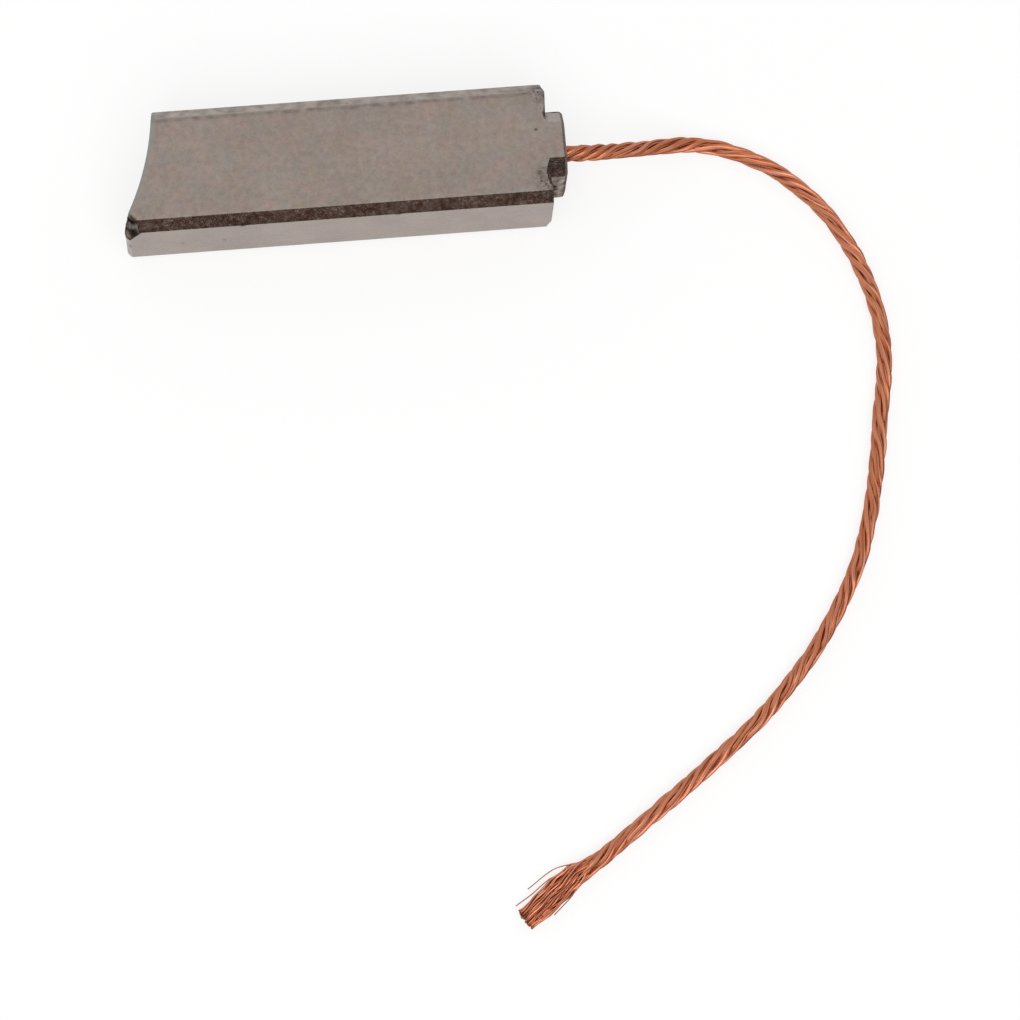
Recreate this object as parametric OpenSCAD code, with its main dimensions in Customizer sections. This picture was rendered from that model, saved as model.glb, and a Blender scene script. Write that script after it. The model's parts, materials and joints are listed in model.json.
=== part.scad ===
// Carbon brush for a commutator motor: one pressed metal-graphite block with a ground
// contact face and a rear stub, and a twisted copper lead that is held in the stub.
// All sizes are in millimetres. The brush lies on its lower wide face. +X runs from the
// contact face to the stub, +Z is up, and the origin is the middle of the underside.

/* [Block] */
// Width of the block across its wide faces
block_w = 8; // [6:0.1:12]
// Thickness of the block between its wide faces
block_t = 6.3; // [4:0.1:10]
// Length of the block from its contact tip to its rear shoulder
block_len = 27.4; // [16:0.1:45]
// Chamfer along the four long edges of the block
block_chamfer = 0.65; // [0.2:0.05:1.1]

/* [Contact face] */
// Radius of the commutator that has ground the contact face
commutator_r = 17.7; // [15:0.1:40]
// Distance from the block's centre line to the commutator's axis
commutator_offset = 5.35; // [2:0.05:7]
// Width of the flat that is left beside the ground hollow
tip_flat = 0.7; // [0.2:0.05:1.5]

/* [Rear stub] */
// Length of the stub beyond the shoulder
stub_len = 1.1; // [0.5:0.1:4]
// Width of the stub
stub_w = 4.4; // [3:0.1:5.5]
// Chamfer along the four long edges of the stub
stub_chamfer = 1; // [0.4:0.05:1.2]
// How far the cutter of each stub chamfer runs into the shoulder
run_out = 0.3; // [0.1:0.05:0.5]

/* [Lead] */
// Diameter of the twisted copper lead
lead_d = 1; // [0.6:0.05:1.4]
// Depth of the blind hole that holds the lead
socket_depth = 7; // [3:0.5:12]
// Clearance round the lead in its hole
socket_clearance = 0.05; // [0.02:0.01:0.15]
// Width across the splayed strands at the cut end of the lead
fray_d = 1.9; // [1.2:0.1:2.6]

/* [Wear] */
// How far the break at the contact tip's upper corner reaches along the edges
tip_chip = 1.5; // [0.8:0.05:2]
// Height of the worn lower corner of the shoulder, which the other worn corners follow
corner_wear = 1.8; // [0.9:0.1:2.5]
// Width of the worn strip down the near edge of the contact tip
edge_wear = 0.3; // [0.1:0.05:0.5]

/* [Hidden] */

// A cutter passes this far beyond the face that it cuts
over = 1;

total_len = block_len + stub_len;
tip_x = -total_len / 2;
end_x = total_len / 2;
shoulder_x = end_x - stub_len;
near_y = -block_w / 2;
lead_z = block_t / 2;
socket_d = lead_d + 2 * socket_clearance;

// Corners that the block and the stub have lost. Each entry has the corner and how far its
// break reaches from there along X, Y and Z.
block_breaks = [
    [[tip_x, near_y, block_t], tip_chip * [0.85, 1, -1.6]],
    [[tip_x, near_y, 0], [edge_wear, edge_wear, 4 * block_t]],
    [[tip_x, near_y, 0], corner_wear * [0.25, 0.35, 0.7]],
    [[shoulder_x, near_y, 0], corner_wear * [-0.25, 0.5, 1]],
    [[shoulder_x, -near_y, block_t], corner_wear * [-0.17, -0.42, -1.1]]
];
stub_breaks = [
    [[end_x, -stub_w / 2, 0], corner_wear * [-0.15, 0.45, 1.35]]
];

// The commutator's axis stands upright beside the contact end, so that its surface
// passes through the inner edge of the tip's flat.
flat_y = near_y + tip_flat;
commutator_y = commutator_offset;
commutator_x = tip_x - sqrt(pow(commutator_r, 2) - pow(flat_y - commutator_y, 2));

// A cutter with this radius just meets both edges of a stub chamfer at the shoulder.
chamfer_half = stub_chamfer / sqrt(2);
cutter_r = (pow(chamfer_half, 2) + pow(run_out, 2)) / (2 * run_out);

// The lead leaves the stub at mid height, comes down to the surface that the brush lies
// on, and makes one wide open bend across it. Each point is a place on its centre line,
// and the height in the bend is the lead's own radius.
free_route = [
    [16.2, 0, 3], [18.2, 0.2, 2.4], [20.2, 0.5, 1.6], [22.2, 0.8, 0.9],
    [24.2, 0.6, 0], [26, -0.1, 0], [27.8, -1.1, 0], [29.3, -2.4, 0],
    [31, -4.3, 0], [32.2, -6.4, 0], [33.1, -8.6, 0], [33.7, -11, 0],
    [33.9, -13.4, 0], [33.7, -15.8, 0], [33.2, -18.2, 0], [32.8, -20.6, 0],
    [32.3, -23, 0], [31.6, -25.6, 0], [30.6, -28.2, 0], [29.2, -30.7, 0],
    [27.5, -33.2, 0], [25.6, -35.4, 0], [23.4, -37.6, 0], [21, -39.5, 0],
    [18.5, -41.4, 0], [16, -43.2, 0], [13.5, -45, 0], [11.8, -46.2, 0],
    [10.1, -47.3, 0], [8.6, -48.4, 0], [7.4, -49.2, 0]
];
// The strands begin to splay this many points before the cut end
fray_points = 5;

held_len = socket_depth - socket_clearance;
held_steps = 3;
held_route = [for (k = [0:held_steps]) [end_x - held_len * (1 - k / held_steps), 0, lead_z]];
lead_route = concat(held_route, free_route);
lead_sides = 8;

// Radius of the lead at a point of its route
function lead_r(i) =
    let (splayed = max(0, i - (len(lead_route) - 1 - fray_points)) / fray_points)
    lead_d / 2 + splayed * (fray_d - lead_d) / 2;

// Centre of the lead at a point of its route, which never sinks below the surface
function lead_at(i) =
    let (p = lead_route[i])
    [p.x, p.y, max(p.z, lead_r(i))];

function unit(v) = v / norm(v);

// Direction of the lead at a point of its route
function lead_along(i) =
    unit(lead_at(min(i + 1, len(lead_route) - 1)) - lead_at(max(i - 1, 0)));

// One ring of the lead, with its points in a plane square to the lead
function lead_ring(i) =
    let (
        along = lead_along(i),
        side = unit(cross([0, 0, 1], along)),
        up = cross(along, side)
    )
    [for (k = [0:lead_sides - 1])
        let (turn = 360 * (k + 0.5) / lead_sides)
        lead_at(i) + lead_r(i) * (cos(turn) * side + sin(turn) * up)];

// A tube through all the rings, with its faces clockwise seen from outside
module lead_tube() {
    rings = len(lead_route);
    points = [for (i = [0:rings - 1]) each lead_ring(i)];
    sides = [
        for (i = [0:rings - 2], k = [0:lead_sides - 1])
            let (next = (k + 1) % lead_sides, low = i * lead_sides, high = low + lead_sides)
            [low + k, high + k, high + next, low + next]
    ];
    start = [for (k = [0:lead_sides - 1]) k];
    finish = [for (k = [lead_sides - 1:-1:0]) (rings - 1) * lead_sides + k];
    polyhedron(points = points, faces = concat(sides, [start, finish]), convexity = 4);
}

// Outline of a bar w wide and t thick whose corners are cut off at 45 degrees
module bar_outline(w, t, chamfer) {
    x = w / 2;
    y = t / 2;
    polygon([
        [-x + chamfer, -y], [x - chamfer, -y], [x, -y + chamfer], [x, y - chamfer],
        [x - chamfer, y], [-x + chamfer, y], [-x, y - chamfer], [-x, -y + chamfer]
    ]);
}

// A bar that lies along X from one place to another, at mid height
module bar(from_x, to_x, w, chamfer) {
    translate([from_x, 0, block_t / 2])
        rotate([90, 0, 90])
        linear_extrude(to_x - from_x)
        bar_outline(w, block_t, chamfer);
}

// The round end of the cutter that makes the stub's chamfers, where it runs into the
// shoulder: side is 1 or -1 for the far and near edges, level likewise for upper and lower
module run_out_cut(side, level) {
    edge_y = side * (stub_w - stub_chamfer) / 2;
    edge_z = block_t / 2 + level * (block_t - stub_chamfer) / 2;
    translate([shoulder_x - run_out + cutter_r, edge_y, edge_z])
        rotate([-side * (90 - level * 45), 0, 0])
        cylinder(r = cutter_r, h = block_w, $fn = 48);
}

// The commutator's surface, taken out of the contact end
module contact_cut() {
    translate([commutator_x, commutator_y, -over])
        cylinder(r = commutator_r, h = block_t + 2 * over, $fn = 128);
}

// The blind hole for the lead, open at the stub's end
module socket_cut() {
    translate([end_x - socket_depth, 0, lead_z])
        rotate([0, 90, 0])
        cylinder(d = socket_d, h = socket_depth + over, $fn = 32);
}

// The half space that one break takes away. The break is flat, and legs are where it crosses
// the three edges, measured from the corner into the bar.
module corner_break(corner, legs) {
    slope = [1 / legs.x, 1 / legs.y, 1 / legs.z];
    away = -unit(slope);
    reach = 2 * max(abs(legs.x), abs(legs.y), abs(legs.z));
    translate(corner + slope / pow(norm(slope), 2))
        rotate([0, acos(away.z), atan2(away.y, away.x)])
        translate([-reach, -reach, 0])
        cube([2 * reach, 2 * reach, reach]);
}

// A bar that has lost some of its corners
module worn_bar(breaks, from_x, to_x, w, chamfer) {
    difference() {
        bar(from_x, to_x, w, chamfer);
        for (lost = breaks) corner_break(lost[0], lost[1]);
    }
}

module brush_block() {
    color("#8a8279")
    difference() {
        union() {
            worn_bar(block_breaks, tip_x, shoulder_x, block_w, block_chamfer);
            worn_bar(stub_breaks, shoulder_x - over, end_x, stub_w, stub_chamfer);
        }
        contact_cut();
        socket_cut();
        for (side = [-1, 1], level = [-1, 1]) run_out_cut(side, level);
    }
}

module lead() {
    color("#c4744a") lead_tube();
}

brush_block();
lead();
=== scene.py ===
"""Looks of a used carbon brush: a pressed metal-graphite block and its twisted copper lead.

The block and the lead are modelled in millimetres and brought to metres when they are
finished. The block lies on its lower wide face, +X runs from the contact face to the stub,
and the lead leaves the stub's end.
"""

import json
import logging
import math
from collections.abc import Callable, Sequence
from dataclasses import dataclass, field
from enum import Enum

import bmesh
import bpy
import numpy as np
from mathutils import Matrix, Vector, kdtree, noise

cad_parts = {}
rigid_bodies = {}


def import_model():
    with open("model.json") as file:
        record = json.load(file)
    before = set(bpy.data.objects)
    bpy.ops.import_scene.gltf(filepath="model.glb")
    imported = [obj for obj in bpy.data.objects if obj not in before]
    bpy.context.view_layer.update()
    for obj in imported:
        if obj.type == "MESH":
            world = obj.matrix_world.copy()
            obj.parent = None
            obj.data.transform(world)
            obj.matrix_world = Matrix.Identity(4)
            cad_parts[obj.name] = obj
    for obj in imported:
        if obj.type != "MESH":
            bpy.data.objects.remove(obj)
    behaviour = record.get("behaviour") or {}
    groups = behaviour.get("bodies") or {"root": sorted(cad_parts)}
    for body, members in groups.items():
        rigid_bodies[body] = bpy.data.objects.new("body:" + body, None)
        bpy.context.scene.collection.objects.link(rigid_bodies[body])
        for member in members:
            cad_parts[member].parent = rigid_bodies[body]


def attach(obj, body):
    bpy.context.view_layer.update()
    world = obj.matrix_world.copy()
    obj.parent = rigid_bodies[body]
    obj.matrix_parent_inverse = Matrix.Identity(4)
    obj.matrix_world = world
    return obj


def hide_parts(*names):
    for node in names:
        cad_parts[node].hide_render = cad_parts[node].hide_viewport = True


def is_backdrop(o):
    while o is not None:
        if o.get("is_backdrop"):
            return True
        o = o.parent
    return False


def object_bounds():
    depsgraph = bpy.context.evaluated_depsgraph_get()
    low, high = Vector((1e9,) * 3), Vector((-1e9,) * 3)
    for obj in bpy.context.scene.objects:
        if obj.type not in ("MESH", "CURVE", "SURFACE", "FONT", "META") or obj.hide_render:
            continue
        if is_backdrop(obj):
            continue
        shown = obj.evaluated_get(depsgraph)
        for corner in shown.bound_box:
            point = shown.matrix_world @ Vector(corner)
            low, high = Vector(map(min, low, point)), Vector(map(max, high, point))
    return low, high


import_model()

MM = 0.001
SEED = 7

log = logging.getLogger("carbon_brush")
Triple = tuple[float, float, float]
Colour = tuple[float, float, float, float]
Profile = Sequence[tuple[float, float]]
Socket = bpy.types.NodeSocket


class Slot(Enum):
    """Material slots of the record."""

    METAL_GRAPHITE = "metal_graphite"
    COPPER_STRAND = "copper_strand"


class Region(Enum):
    """Surfaces of the block, by the index of the material that each one wears."""

    GROUND = 0
    DIE_SKIN = 1
    BEDDED = 2
    SLID = 3


# --- Mesh tools ---------------------------------------------------------------------------


def deselect_all() -> None:
    """Leave no object selected or active."""
    for obj in bpy.context.view_layer.objects:
        obj.select_set(False)
    bpy.context.view_layer.objects.active = None


def activate(obj: bpy.types.Object) -> None:
    """Make one object the only selected one and the active one.

    Args:
        obj: The object that the next operators act on.
    """
    deselect_all()
    obj.select_set(True)
    bpy.context.view_layer.objects.active = obj


def named_active(name: str) -> bpy.types.Object:
    """Name the object that a primitive operator has just added, and its mesh.

    Args:
        name: The new name.

    Returns:
        The renamed object.
    """
    obj = bpy.context.view_layer.objects.active
    obj.name = name
    obj.data.name = name
    return obj


def apply_modifiers(obj: bpy.types.Object) -> None:
    """Apply every modifier on an object, from the first to the last.

    Args:
        obj: The object whose modifiers become part of its mesh.
    """
    activate(obj)
    for name in [modifier.name for modifier in obj.modifiers]:
        bpy.ops.object.modifier_apply(modifier=name)


def combine(body: bpy.types.Object, tool: bpy.types.Object, operation: str) -> None:
    """Join a tool to a body or cut it out of the body, and remove the tool.

    Args:
        body: The object that is kept.
        tool: The closed object that is joined or cut away.
        operation: The Boolean operation, UNION or DIFFERENCE.
    """
    modifier = body.modifiers.new(tool.name, "BOOLEAN")
    modifier.operation = operation
    modifier.solver = "EXACT"
    modifier.object = tool
    apply_modifiers(body)
    mesh = tool.data
    bpy.data.objects.remove(tool)
    bpy.data.meshes.remove(mesh)


def cylinder(name: str, start: Vector, end: Vector, radius: float, sides: int) -> bpy.types.Object:
    """Add a closed cylinder between two points.

    Args:
        name: Name of the new object.
        start: Middle of one end.
        end: Middle of the other end.
        radius: Radius of the cylinder.
        sides: Number of its sides.

    Returns:
        The cylinder, with its place in its mesh.
    """
    deselect_all()
    bpy.ops.mesh.primitive_cylinder_add(vertices=sides, radius=radius, depth=(end - start).length)
    obj = named_active(name)
    turn = (end - start).to_track_quat("Z", "Y").to_matrix().to_4x4()
    obj.data.transform(Matrix.Translation((start + end) / 2) @ turn)
    return obj


def into_metres(obj: bpy.types.Object) -> None:
    """Scale a finished piece from millimetres to metres, in its mesh.

    Args:
        obj: The piece, whose object sits at the origin.
    """
    obj.data.transform(Matrix.Scale(MM, 4))
    obj.data.update()


def link_new(name: str, data: bpy.types.ID) -> bpy.types.Object:
    """Put new data into the scene as an object.

    Args:
        name: Name of the object.
        data: Its mesh, camera or lamp.

    Returns:
        The new object, at the origin.
    """
    obj = bpy.data.objects.new(name, data)
    bpy.context.scene.collection.objects.link(obj)
    return obj


def triangles(obj: bpy.types.Object) -> int:
    """Count the triangles that an object's mesh comes to."""
    obj.data.calc_loop_triangles()
    return len(obj.data.loop_triangles)


def smoothstep(low: float, high: float, values: np.ndarray) -> np.ndarray:
    """Blend smoothly from 0 at low to 1 at high.

    Args:
        low: Value at which the result leaves 0. It may be the higher of the two.
        high: Value at which the result reaches 1.
        values: The values to blend.

    Returns:
        The blend for each value.
    """
    t = np.clip((np.asarray(values, float) - low) / (high - low), 0, 1)
    return t * t * (3 - 2 * t)


def held_share(value: float, most: float = 1.0) -> float:
    """Hold a share between 0 and the most that it may be."""
    return min(most, max(0.0, value))


def layered_noise(place: Vector, layers: int = 3, falloff: float = 0.6) -> float:
    """Read layered noise, which centres on 0, at a place."""
    return noise.fractal(place, falloff, 2.0, layers)


def store(mesh: bpy.types.Mesh, name: str, values: np.ndarray) -> None:
    """Keep one number or one vector for each vertex as an attribute of the mesh.

    Args:
        mesh: The mesh that gets the attribute.
        name: Name that the material reads.
        values: One number, or one row of three, for each vertex.
    """
    values = np.asarray(values, np.float32)
    if values.ndim == 2:
        attribute = mesh.attributes.new(name, "FLOAT_VECTOR", "POINT")
        attribute.data.foreach_set("vector", values.ravel())
    else:
        attribute = mesh.attributes.new(name, "FLOAT", "POINT")
        attribute.data.foreach_set("value", values)


# --- Shader tools -------------------------------------------------------------------------


class NodeSheet:
    """Adds nodes to one node tree and links them."""

    def __init__(self, tree: bpy.types.NodeTree) -> None:
        """Start on an empty tree.

        Args:
            tree: The node tree of a material, a world or a group.
        """
        self.tree = tree
        tree.nodes.clear()

    def add(self, kind: str, settings: dict | None = None, **inputs: object) -> bpy.types.Node:
        """Add a node, set its properties and feed its sockets.

        Args:
            kind: Type name of the node.
            settings: Properties of the node itself.
            **inputs: Socket names, with _ for a space, and what goes in: a value or an output.

        Returns:
            The new node.
        """
        node = self.tree.nodes.new(kind)
        for name, value in (settings or {}).items():
            setattr(node, name, value)
        for name, value in inputs.items():
            self.feed(node.inputs[name.replace("_", " ")], value)
        return node

    def feed(self, socket: Socket, value: object) -> None:
        """Link an output to a socket, or set the socket's own value.

        Args:
            socket: The input to feed.
            value: A node output, or a plain value.
        """
        if isinstance(value, Socket):
            self.tree.links.new(value, socket)
        else:
            socket.default_value = value

    def attribute(self, name: str, output: str = "Fac") -> Socket:
        """Read an attribute of the mesh."""
        node = self.add("ShaderNodeAttribute", {"attribute_name": name})
        return node.outputs[output]

    def math(self, operation: str, first: object, second: object = 0.0) -> Socket:
        """Work out one number from two.

        Args:
            operation: Name of the Math node's operation.
            first: The first number or output.
            second: The second number or output.

        Returns:
            The result's output.
        """
        node = self.add("ShaderNodeMath", {"operation": operation})
        self.feed(node.inputs[0], first)
        self.feed(node.inputs[1], second)
        return node.outputs[0]

    def times(self, first: object, second: object) -> Socket:
        """Multiply two numbers."""
        return self.math("MULTIPLY", first, second)

    def plus(self, first: object, second: object) -> Socket:
        """Add two numbers."""
        return self.math("ADD", first, second)

    def most(self, first: object, second: object) -> Socket:
        """Take the larger of two numbers."""
        return self.math("MAXIMUM", first, second)

    def span(self, value: object, low: float, high: float, to_low: float = 0.0,
             to_high: float = 1.0) -> Socket:
        """Map a number from one range to another, held at the range's ends.

        Args:
            value: The number or output to map.
            low: Start of the range that it comes from.
            high: End of the range that it comes from.
            to_low: What low becomes.
            to_high: What high becomes.

        Returns:
            The mapped output.
        """
        node = self.add("ShaderNodeMapRange", {"interpolation_type": "SMOOTHSTEP"})
        for name, entry in (("Value", value), ("From Min", low), ("From Max", high),
                            ("To Min", to_low), ("To Max", to_high)):
            self.feed(node.inputs[name], entry)
        return node.outputs["Result"]

    def mix(self, factor: object, first: object, second: object,
            blend: str = "MIX") -> Socket:
        """Mix two colours.

        Args:
            factor: Share of the second colour.
            first: The first colour or output.
            second: The second colour or output.
            blend: Blend type.

        Returns:
            The mixed colour's output.
        """
        node = self.add("ShaderNodeMix", {"data_type": "RGBA", "blend_type": blend})
        self.feed(node.inputs["Factor"], factor)
        colours = [s for s in node.inputs if s.type == "RGBA"]
        self.feed(colours[0], first)
        self.feed(colours[1], second)
        return next(s for s in node.outputs if s.type == "RGBA")

    def noise(self, vector: object, scale: float, detail: float = 2.0, roughness: float = 0.5,
              distortion: float = 0.0) -> Socket:
        """Sample a noise texture.

        Args:
            vector: Coordinates that the noise follows.
            scale: Features for each unit of length.
            detail: Number of finer layers.
            roughness: Strength of the finer layers.
            distortion: How far the pattern is pulled about.

        Returns:
            The noise's number, which centres on 0.5.
        """
        node = self.add("ShaderNodeTexNoise", Vector=vector, Scale=scale, Detail=detail,
                        Roughness=roughness, Distortion=distortion)
        return node.outputs["Fac"]


def new_group(name: str, inputs: dict[str, object], outputs: dict[str, str]) -> NodeSheet:
    """Start a shader node group with named sockets.

    Args:
        name: Name of the group.
        inputs: Names of its inputs with their default values. A triple makes a vector.
        outputs: Names of its outputs with their socket types.

    Returns:
        The group's sheet, with its Group Input and Group Output nodes added.
    """
    tree = bpy.data.node_groups.new(name, "ShaderNodeTree")
    for label, default in inputs.items():
        kind = "NodeSocketVector" if isinstance(default, tuple) else "NodeSocketFloat"
        socket = tree.interface.new_socket(label, in_out="INPUT", socket_type=kind)
        socket.default_value = default
    for label, kind in outputs.items():
        tree.interface.new_socket(label, in_out="OUTPUT", socket_type=kind)
    sheet = NodeSheet(tree)
    sheet.add("NodeGroupInput").name = "inputs"
    sheet.add("NodeGroupOutput").name = "outputs"
    return sheet


def place_group(sheet: NodeSheet, group: bpy.types.NodeTree, **inputs: object) -> bpy.types.Node:
    """Place a node group in a material with its own values.

    Args:
        sheet: The material's sheet.
        group: The group to place.
        **inputs: Its inputs, with _ for a space.

    Returns:
        The group node.
    """
    node = sheet.add("ShaderNodeGroup", {"node_tree": group})
    for name, value in inputs.items():
        sheet.feed(node.inputs[name.replace("_", " ")], value)
    return node


def new_material(name: str) -> tuple[bpy.types.Material, NodeSheet]:
    """Start a material on an empty node tree.

    Args:
        name: Name of the material.

    Returns:
        The material and its sheet.
    """
    material = bpy.data.materials.new(name)
    material.use_nodes = True
    return material, NodeSheet(material.node_tree)


def build_mottle_group() -> bpy.types.NodeTree:
    """Build the uneven tone that powder metal and drawn copper share.

    Returns:
        A group with a broad Cloud, a fine Grain and a Tint, each centred on 0.
    """
    sheet = new_group(
        "uneven_tone",
        {"Vector": (0.0, 0.0, 0.0), "Cloud Scale": 0.4, "Grain Scale": 2.4, "Tint Scale": 1.0},
        {"Cloud": "NodeSocketFloat", "Grain": "NodeSocketFloat", "Tint": "NodeSocketFloat"},
    )
    given = sheet.tree.nodes["inputs"].outputs
    out = sheet.tree.nodes["outputs"].inputs
    layers = (("Cloud", 3.0, 0.55), ("Grain", 3.0, 0.8), ("Tint", 4.0, 0.65))
    for label, detail, roughness in layers:
        level = sheet.noise(given["Vector"], 1.0, detail, roughness)
        sheet.feed(level.node.inputs["Scale"], given[f"{label} Scale"])
        sheet.feed(out[label], sheet.math("SUBTRACT", level, 0.5))
    return sheet.tree


# --- Finishes -----------------------------------------------------------------------------


@dataclass(frozen=True)
class Pit:
    """A small open hole in the ground surface, in millimetres."""

    place: Triple
    radius: float
    dark: float


@dataclass(frozen=True)
class GroundGraphite:
    """Ground metal-graphite: metallic, finely grained, with open pores and a few pits.

    Patterns are sized in millimetres, and bump distances in metres.
    """

    mottle: bpy.types.NodeTree
    warm: Colour = (0.302, 0.230, 0.203, 1)
    cool: Colour = (0.266, 0.235, 0.216, 1)
    earthy: Colour = (0.280, 0.234, 0.190, 1)
    earth_scale: float = 0.9
    earth_share: float = 0.8
    # Lighter colour of the grit specks and of the rubbed edges, where it is also a painted edge
    # highlight.
    worn: Colour = (0.300, 0.275, 0.255, 1)
    rubbing_and_sheen: float = 0.7
    rub_scale: float = 2.4
    dusted: Colour = (0.249, 0.252, 0.227, 1)
    soot_and_shade: Colour = (0.030, 0.024, 0.020, 1)
    soot_and_shade_tint: Colour = (0.30, 0.20, 0.14, 1)
    cloud_depth: float = 0.3
    grain_depth: float = 0.55
    speck_scale: float = 3.2
    speck_light: float = 0.45
    dent_dark: float = 0.8
    pore_scale: float = 1.7
    pore_reach: float = 0.10
    pore_dark: float = 0.3
    pit_brim: float = 0.06
    pit_unevenness: float = 0.12
    pits: tuple[Pit, ...] = ()
    metallic: float = 1.0
    roughness: float = 0.30
    grain_roughness: float = 0.4
    dirt_roughness: float = 0.08
    bump_scale: float = 6.0
    bump_distance: float = 0.00002
    hole_relief: float = 1.0
    grit_distance: float = 0.00008
    grit_strength: float = 0.8

    def build(self, name: str) -> bpy.types.Material:
        """Build the material.

        Args:
            name: Name of the material.

        Returns:
            The material, which reads the block's wear, grit and rim attributes, and the one that
            holds its dirt with painted shade.
        """
        material, sheet = new_material(name)
        place = self._coordinates(sheet)
        tone = place_group(sheet, self.mottle, Vector=place)
        colour = self._tones(sheet, place, tone)
        specks = sheet.noise(place, self.speck_scale, 3.0, 0.7)
        grit = sheet.attribute("grit")
        light = sheet.times(grit, sheet.span(specks, 0.50, 0.36, 0.0, self.speck_light))
        colour = sheet.mix(light, colour, self.worn)
        dents = sheet.times(grit, sheet.span(specks, 0.50, 0.60))
        holes = sheet.most(self._pores(sheet, place), self._pits(sheet, place))
        holes = sheet.most(holes, sheet.times(dents, self.dent_dark))
        dark = sheet.most(sheet.attribute("soot_and_shade"), holes)
        rough = sheet.plus(sheet.times(tone.outputs["Grain"], self.grain_roughness), self.roughness)
        rough = sheet.plus(rough, sheet.times(dark, self.dirt_roughness))
        crumbs = sheet.times(grit, sheet.math("SUBTRACT", specks, 0.5))
        relief = sheet.add("ShaderNodeBump", Strength=self.grit_strength, Height=crumbs,
                           Distance=self.grit_distance, Normal=self._relief(sheet, place, holes))
        # The colour darkens, and its sheen browns, where there is dirt and where shade is painted.
        shader = sheet.add("ShaderNodeBsdfPrincipled", Roughness=rough, Metallic=self.metallic,
                           Base_Color=sheet.mix(dark, colour, self.soot_and_shade),
                           Specular_Tint=sheet.mix(dark, (1, 1, 1, 1), self.soot_and_shade_tint),
                           Normal=relief.outputs["Normal"])
        sheet.add("ShaderNodeOutputMaterial", Surface=shader.outputs["BSDF"])
        return material

    def _coordinates(self, sheet: NodeSheet) -> Socket:
        """Give the place on the piece.

        Args:
            sheet: The material's sheet.

        Returns:
            The output with the place, in millimetres.
        """
        place = sheet.add("ShaderNodeTexCoord").outputs["Object"]
        to_mm = (1 / MM, 1 / MM, 1 / MM)
        return sheet.add("ShaderNodeMapping", Vector=place, Scale=to_mm).outputs["Vector"]

    def _tones(self, sheet: NodeSheet, place: Socket, tone: bpy.types.Node) -> Socket:
        """Mix the metal's uneven tones, its dusty rim and its rubbed edges, which also carry a
        painted edge highlight.

        Args:
            sheet: The material's sheet.
            place: Place on the piece.
            tone: The placed group of uneven tones.

        Returns:
            The colour's output.
        """
        colour = sheet.mix(sheet.span(tone.outputs["Tint"], -0.20, 0.20), self.warm, self.cool)
        earth = sheet.noise(place, self.earth_scale, 5.0, 0.75)
        earth = sheet.span(earth, 0.42, 0.66, 0.0, self.earth_share)
        colour = sheet.mix(earth, colour, self.earthy)
        shade = sheet.plus(sheet.times(tone.outputs["Cloud"], self.cloud_depth),
                           sheet.times(tone.outputs["Grain"], self.grain_depth))
        level = sheet.plus(shade, 1.0)
        grey = sheet.add("ShaderNodeCombineColor", Red=level, Green=level, Blue=level)
        colour = sheet.mix(1.0, colour, grey.outputs["Color"], "MULTIPLY")
        colour = sheet.mix(sheet.attribute("rim"), colour, self.dusted)
        # Lighter along the sharp edges: rubbed wear with a painted edge highlight.
        broken = sheet.span(sheet.noise(place, self.rub_scale, 4.0, 0.7), 0.38, 0.62)
        rubbed = sheet.times(sheet.times(sheet.attribute("wear"), broken), self.rubbing_and_sheen)
        return sheet.mix(rubbed, colour, self.worn)

    def _pores(self, sheet: NodeSheet, place: Socket) -> Socket:
        """Mask the small open pores between the pressed grains.

        Args:
            sheet: The material's sheet.
            place: Place on the piece.

        Returns:
            The mask's output.
        """
        cells = sheet.add("ShaderNodeTexVoronoi", Vector=place, Scale=self.pore_scale,
                          Randomness=1.0)
        open_cells = sheet.span(cells.outputs["Distance"], self.pore_reach, 0.4 * self.pore_reach)
        picked = sheet.span(sheet.noise(place, 0.9, 1.0), 0.56, 0.70)
        return sheet.times(open_cells, sheet.times(picked, self.pore_dark))

    def _pits(self, sheet: NodeSheet, place: Socket) -> Socket | float:
        """Mask the pits, whose rims are uneven.

        Args:
            sheet: The material's sheet.
            place: Place on the piece.

        Returns:
            The mask's output, or 0 where the finish has no pits.
        """
        uneven = sheet.times(sheet.noise(place, 6.0, 2.0), self.pit_unevenness)
        mask: Socket | float = 0.0
        for pit in self.pits:
            away = sheet.add("ShaderNodeVectorMath", {"operation": "DISTANCE"})
            sheet.feed(away.inputs[0], place)
            sheet.feed(away.inputs[1], pit.place)
            gap = sheet.plus(away.outputs["Value"], uneven)
            brim = pit.radius + self.pit_brim
            mask = sheet.most(mask, sheet.span(gap, brim, 0.35 * brim, 0.0, pit.dark))
        return mask

    def _relief(self, sheet: NodeSheet, place: Socket, holes: Socket) -> Socket:
        """Give the normal of the grained surface.

        Args:
            sheet: The material's sheet.
            place: Place on the piece.
            holes: Mask of the pores, pits and dents.

        Returns:
            The normal's output.
        """
        grains = sheet.noise(place, self.bump_scale, 3.0, 0.7)
        height = sheet.math("SUBTRACT", grains, sheet.times(holes, self.hole_relief))
        bump = sheet.add("ShaderNodeBump", Strength=1.0, Distance=self.bump_distance, Height=height)
        return bump.outputs["Normal"]


@dataclass(frozen=True)
class DieSkin(GroundGraphite):
    """The closed, shinier skin that the press leaves on the chamfers."""

    warm: Colour = (0.331, 0.280, 0.255, 1)
    cool: Colour = (0.309, 0.278, 0.257, 1)
    earthy: Colour = (0.317, 0.275, 0.240, 1)
    rubbing_and_sheen: float = 0.2
    cloud_depth: float = 0.5
    grain_depth: float = 0.6
    speck_light: float = 0.1
    roughness: float = 0.19
    bump_distance: float = 0.000012
    hole_relief: float = 0.0


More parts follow.
